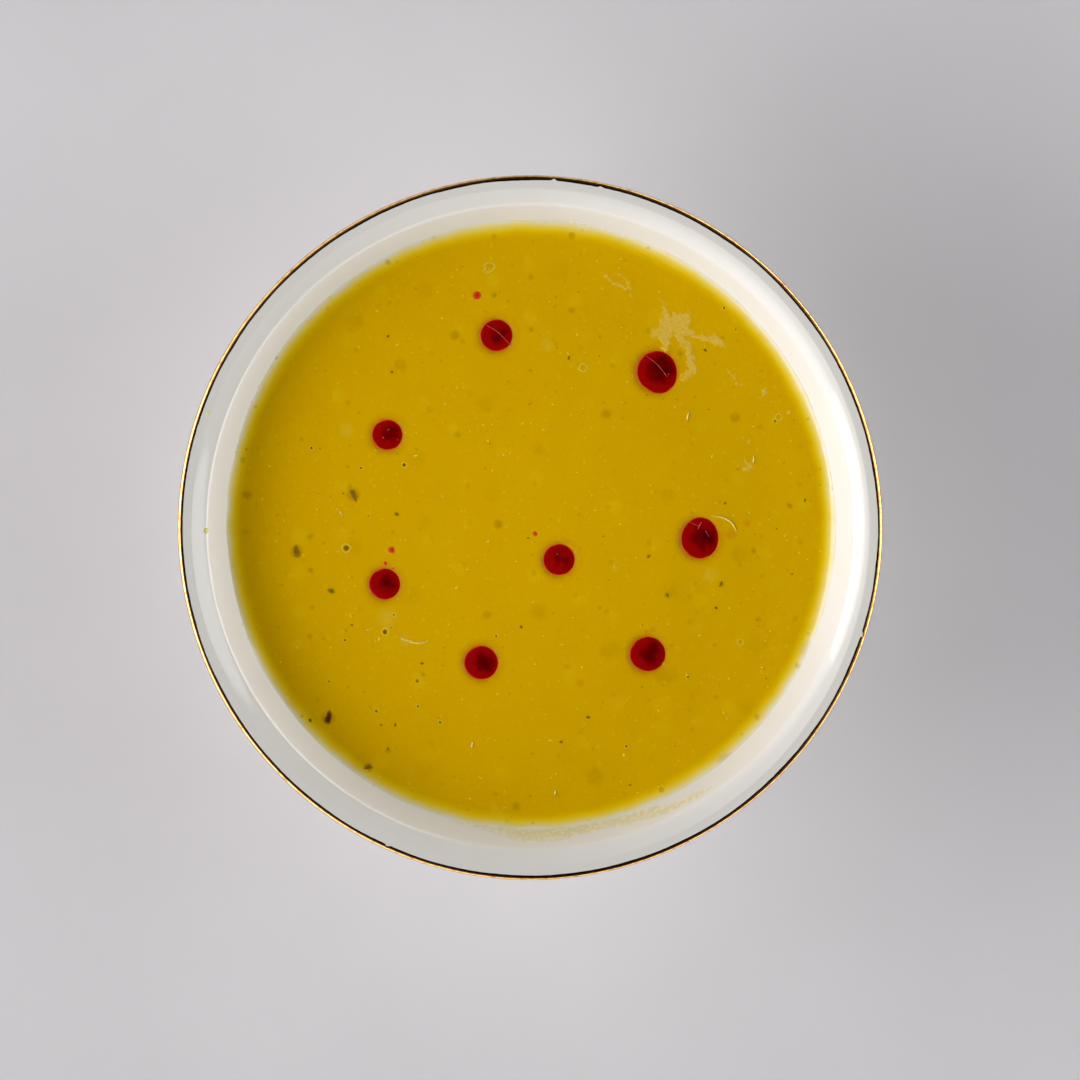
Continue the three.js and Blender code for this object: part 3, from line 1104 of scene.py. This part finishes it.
# On the drops these are partly fibres and partly painted highlights.
DROP_FIBRES_AND_HIGHLIGHTS = [
    [(-10.6, 46.2, 0.6), (-7.7, 44.7, 1.0), (-6.0, 43.0, 1.0), (-4.4, 41.2, 0.7)],
    [(26.3, 39.2, 0.6), (28.0, 38.0, 1.0), (29.8, 36.4, 1.0), (31.5, 34.1, 0.9)],
    [(36.7, 0.6, 0.6), (38.0, 0.1, 0.9), (39.1, -0.4, 0.6)],
    [(39.4, 0.6, 1.3), (38.9, -0.2, 1.6), (38.6, -1.0, 1.3)],
    [(40.3, -1.3, 0.6), (40.7, -2.0, 0.9), (41.1, -2.6, 0.6)],
    [(-33.9, 20.3, 1.3), (-33.7, 19.9, 1.6)],
    [(-33.0, 21.7, 0.8), (-32.3, 22.1, 1.2)],
    [(-34.6, 22.8, 0.7), (-34.4, 22.7, 0.8)],
    [(-30.6, 19.7, 0.7), (-30.4, 19.5, 0.9)],
    [(6.1, -6.5, 0.8), (6.4, -6.9, 0.8)],
    [(31.9, 34.9, 1.5), (31.8, 34.5, 1.5)],
]


def fibres(name, lines, thick, lift, material):
    """Fine fibres of lentil skin, and on the drops thin threads that are partly painted highlights."""
    finish(joined(name, [thread(line, thick, lift) for line in lines]), material)


# Dried soup on the wall: brush lines of distance round the wall, distance up it and half widths.
TOP = pi / 2 * SHORE
BOTTOM = -TOP
STAIN_PITCH = 0.22
FILM_LINES = [
    [(BOTTOM - 18, 0.0, 0.8), (BOTTOM - 12, 0.3, 1.3), (BOTTOM - 7, 0.8, 1.9), (BOTTOM - 4, 1.5, 2.7)],
    [(BOTTOM - 4, 1.5, 2.7), (BOTTOM, 1.9, 3.3), (BOTTOM + 6, 2.0, 3.4), (BOTTOM + 11, 1.5, 2.8),
     (BOTTOM + 16, 1.4, 2.7), (BOTTOM + 22, 2.0, 2.8), (BOTTOM + 30, 2.2, 2.2)],
    [(BOTTOM + 17, 2.4, 1.6), (BOTTOM + 26, 3.9, 1.9), (BOTTOM + 33, 4.7, 1.9), (BOTTOM + 38, 5.2, 1.7),
     (BOTTOM + 42, 5.6, 1.0)],
    [(TOP - 17, 0.2, 0.6), (TOP - 9, 0.7, 0.9), (TOP - 2, 0.4, 0.6)],
]
FILMS = {"dried_film_front": (BOTTOM - 18, BOTTOM + 46), "dried_film_back": (TOP - 20, TOP)}


def dried_film(material):
    """The thin film that the soup left on the wall."""
    for name, ends in FILMS.items():
        across, climb = np.meshgrid(np.arange(*ends, STAIN_PITCH), np.arange(-1.6, 7.4, STAIN_PITCH))
        frayed = strokes(across, climb, FILM_LINES) + 0.25 * waves(across, climb * 1.4, 3, seed=71)
        frayed = frayed + 0.03 * waves(across, climb, 0.9, seed=72)
        thickness = np.where(frayed > 0, np.minimum(0.002 + 0.038 * frayed, STAIN_THICKEST), -1)
        finish(film(name, across, climb, thickness, on_wall), material)


# Droplets on the wall: degrees from +X, distance from the axis, radius.
WALL_DROPLETS = [(-179.4, 73.7, 0.65), (160.4, 77.6, 0.35)]
# Froth where the soup meets the wall, painted pale as painted highlights: degrees from +X and radius.
SHORE_BEADS_AND_GLINTS = [
    (153, 0.28), (156, 0.3), (159, 0.26), (163, 0.26), (166, 0.3), (-161, 0.28), (-158, 0.22),
    (27.2, 0.4), (26.4, 0.3), (24.5, 0.25), (10, 0.3), (9, 0.25), (8.1, 0.22), (4, 0.2), (-3, 0.2),
]


def dab(angle, climb, radius, bulge=0.5):
    """A small low dome on the wall."""
    shares = np.sin(np.linspace(pi / 2, 0.12, 5))
    lifts = bulge * radius * np.sqrt(1 - shares**2)
    middle = complex(radians(angle) * SHORE, climb)
    places = middle + radius * np.outer([1, *shares], circle_of(16))
    return capped(on_wall(places.real, places.imag, np.array([-0.1, *lifts])[:, None]))


def wall_droplets(material):
    """Splashes of soup on the wall above the soup."""
    shapes = []
    for angle, radius, size in WALL_DROPLETS:
        climb = np.interp(radius, WALL_LINE[:, 0], WALL_REACH) - SHORE_REACH
        shapes.append(dab(angle, climb, size))
    finish(joined("wall_droplets", shapes), material)


def shore_beads_and_glints(material):
    """Beads of froth where the soup meets the wall, pale as painted highlights."""
    shapes = [dab(angle, 0.15, radius, 0.7) for angle, radius in SHORE_BEADS_AND_GLINTS]
    finish(joined("shore_beads_and_glints", shapes), material)


# ---- Floor, light and camera ----

FLOOR_HALF = 3000
FLOOR_COLOURS = (0.715, 0.695, 0.715), (0.745, 0.725, 0.745)


def floor():
    """A plain pale floor."""
    corners = [(x * FLOOR_HALF, y * FLOOR_HALF, 0) for x, y in ((-1, -1), (1, -1), (1, 1), (-1, 1))]
    piece = piece_of("floor", corners, [(0, 1, 2, 3)])
    material, place = new_material("floor")
    colour = mixed(varied(place, 60, 0, 1, 3), *FLOOR_COLOURS)
    piece.data.materials.append(painted(material, {"Base Color": colour, "Roughness": 0.8}))


LAMP_DISTANCE = 1.1  # metres
# Lamps: name and shape; compass, elevation, half width and half height as seen from the bowl, in
# degrees; radiance and colour.
LAMPS = [
    ("window", "RECTANGLE", 184, 29, 20, 9, 4.35, (1.0, 0.98, 0.98)),
    ("fill", "ELLIPSE", 5, 35, 19.5, 9.5, 2.45, (0.94, 1.0, 1.0)),
]


def lamp(name, shape, degrees, elevation, half_width, half_height, radiance, colour):
    """A light that faces the bowl."""
    light = bpy.data.lights.new(name, "AREA")
    light.shape = shape
    halves = [radians(half) for half in (half_width, half_height)]
    light.size, light.size_y = (2 * LAMP_DISTANCE * tan(half) for half in halves)
    light.color = colour
    area = light.size * light.size_y * (pi / 4 if shape == "ELLIPSE" else 1)
    light.energy = radiance * pi * area
    height = radians(elevation)
    outward = Vector(round_axis(cos(height), radians(degrees), sin(height)))
    holder = placed(name, light)
    holder.location = outward * LAMP_DISTANCE + Vector((0, 0, BOWL_HEIGHT * MM))
    holder.rotation_euler = outward.to_track_quat("Z", "Y").to_euler()
    holder.visible_camera = False


# The room's radiance round the compass, in degrees from +X: near the horizon, above that, and overhead.
ROOM = [
    (0, 6.2, 0.2, 0.5), (25, 6.0, 0.1, 0.4), (45, 4.8, 0.0, 0.15), (90, 0.3, 0.0, 0.0),
    (135, 1.9, 1.2, 0.2), (160, 2.9, 3.0, 0.42), (180, 3.4, 4.2, 0.5), (200, 3.5, 3.9, 0.47),
    (225, 3.6, 3.3, 0.3), (270, 2.1, 0.2, 0.0), (315, 3.2, 0.0, 0.1), (340, 5.8, 0.1, 0.45),
    (360, 6.2, 0.2, 0.5),
]
HORIZON_TOP = 14  # degrees above level
ROOM_TOP = 31
CEILING_FOOT = 72  # above this it is dark
BAND_EASING = 2
ROOM_TINT = (0.985, 0.975, 0.985)


def surroundings():
    """A room, bright to the left and low on the right, under a dark ceiling."""
    world = bpy.data.worlds.new("room")
    bpy.context.scene.world = world
    world.use_nodes = True
    direction = node("ShaderNodeTexCoord", {}, out="Generated", tree=world.node_tree)
    x, y, z = (axis_of(direction, axis) for axis in "XYZ")
    turn = maths("DIVIDE", maths("WRAP", maths("ARCTAN2", y, x), tau, 0.0), tau)
    climb = maths("ARCSINE", z)
    brightest = max(max(values) for _, *values in ROOM)
    bands = []
    for band in (1, 2, 3):
        shares = [(stop[0] / 360, stop[band] / brightest) for stop in ROOM]
        stops = [(place, tuple(share * c for c in ROOM_TINT)) for place, share in shares]
        bands.append(ramp(turn, stops))
    colour = bands[0]
    for foot, band in zip((HORIZON_TOP, ROOM_TOP, CEILING_FOOT), (*bands[1:], (0, 0, 0))):
        above = spread(climb, radians(foot - BAND_EASING), radians(foot + BAND_EASING))
        colour = mixed(above, colour, band)
    feed(world.node_tree.nodes["Background"], {"Color": colour, "Strength": brightest})


CAMERA_PLACE = (0, 46.5, 756)
SENSOR_WIDTH = 36
LENS = 102.9
LENS_SHIFT = (0.0091, -0.2011)


def camera():
    """The camera looks straight down, with a shifted lens."""
    data = bpy.data.cameras.new("camera")
    data.sensor_width = SENSOR_WIDTH
    data.lens = LENS
    data.shift_x, data.shift_y = LENS_SHIFT
    eye = placed("camera", data)
    eye.location = Vector(CAMERA_PLACE) * MM
    bpy.context.scene.camera = eye


def build():
    """The whole bowl of soup."""
    oil = oil_material()
    bowl_china(china_material())
    gilding(gold_material())
    soup_body(soup_material())
    for name, drop in zip(DROP_NAMES, DROPS):
        oil_drop(name, drop, oil)
    oil_beads(oil)
    herb_flakes(herb_material())
    grain = speckled_material("grain", (0.80, 0.54, 0.006), (0.88, 0.65, 0.05), 0.8, 0.4, gloss=0.2)
    strewn("grains", grain, 520, 0.25, 0.75, seed=81, sunk=0.75)
    speck = speckled_material("speck", (0.20, 0.08, 0.0), (0.42, 0.21, 0.0), 0.5, 0.6, gloss=0.1)
    strewn("specks", speck, 260, 0.12, 0.34, seed=82)
    bubbles(bubble_material())
    foam(foam_material())
    soup_fibre = speckled_material("soup_fibre", (0.86, 0.64, 0.1), (0.9, 0.72, 0.2), 0.5, 0.2)
    # Pinkish threads on the drops: partly fibres, partly painted highlights.
    oil_thread_and_highlight = speckled_material("oil_thread_and_highlight", (0.55, 0.045, 0.045), (0.72, 0.11, 0.1), 0.4, 0.2)
    fibres("oil_threads_and_highlights", DROP_FIBRES_AND_HIGHLIGHTS, 0.07, 0.03, oil_thread_and_highlight)
    fibres("soup_fibres", SOUP_FIBRES, 0.2, 0.0, soup_fibre)
    dried_film(stain_material())
    wall_droplets(speckled_material("splash", (0.72, 0.67, 0.16), (0.76, 0.72, 0.26), 0.5, 0.15))
    # The froth beads' pale colour is partly a painted highlight.
    shore_beads_and_glints(speckled_material("froth", (0.85, 0.75, 0.42), (0.88, 0.82, 0.55), 0.4, 0.08))


build()
floor()
surroundings()
for spec in LAMPS:
    lamp(*spec)
camera()
bpy.context.scene.view_settings.view_transform = "Standard"
